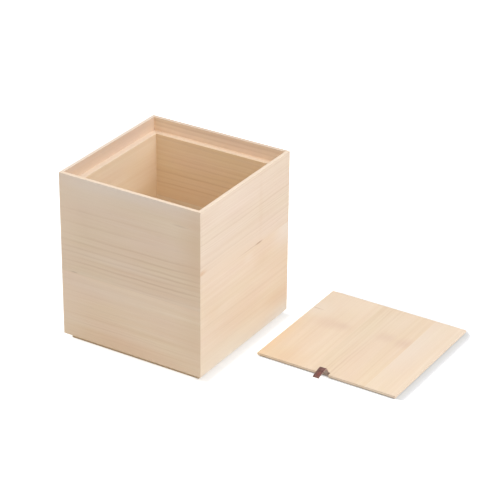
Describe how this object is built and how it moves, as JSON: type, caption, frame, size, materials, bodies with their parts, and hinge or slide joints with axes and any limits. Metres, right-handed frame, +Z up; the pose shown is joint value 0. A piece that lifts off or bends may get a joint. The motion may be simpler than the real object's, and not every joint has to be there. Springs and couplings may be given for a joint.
{
  "type": "vegetable storage box",
  "caption": "Square open wooden storage box with lined walls, a ledge inside the rim, a set-in foot for stacking and a loose drop-in lid with a short leather pull tab",
  "frame": {"origin": "middle of the face that the box stands on, under its floor", "axes": "+Z is up out of the box's mouth, +X is across the box toward the lid that lies beside it, and +Y is from the front, where the lid's pull tab is, to the back"},
  "size_m": [0.6193, 0.416, 0.34],
  "materials": {
    "outer_boards": "satin",
    "lining_boards": "satin",
    "floor_boards": "satin",
    "lid_boards": "satin",
    "strap": "satin"
  },
  "bodies": {
    "box": {"front_wall_lower": "outer_boards", "front_wall_upper": "outer_boards", "right_wall_lower": "outer_boards", "right_wall_upper": "outer_boards", "back_wall_lower": "outer_boards", "back_wall_upper": "outer_boards", "left_wall_lower": "outer_boards", "left_wall_upper": "outer_boards", "front_lining_lower": "lining_boards", "front_lining_upper": "lining_boards", "right_lining_lower": "lining_boards", "right_lining_upper": "lining_boards", "back_lining_lower": "lining_boards", "back_lining_upper": "lining_boards", "left_lining_lower": "lining_boards", "left_lining_upper": "lining_boards", "floor_front": "floor_boards", "floor_middle": "floor_boards", "floor_back": "floor_boards"},
    "lid": {"lid_left": "lid_boards", "lid_middle": "lid_boards", "lid_right": "lid_boards", "pull_tab_tail": "strap"},
    "tab": {"pull_tab": "strap"}
  },
  "joints": [
    {"name": "lid_lift", "type": "slide", "parent": "box", "child": "lid", "axis": [0, 0, 1], "range_m": [0, 0.37]},
    {"name": "tab_flex", "type": "hinge", "parent": "lid", "child": "tab", "pos_m": [0.3243, -0.00833, 0.01], "axis": [-1, 0, 0], "range_deg": [0, 100]}
  ]
}
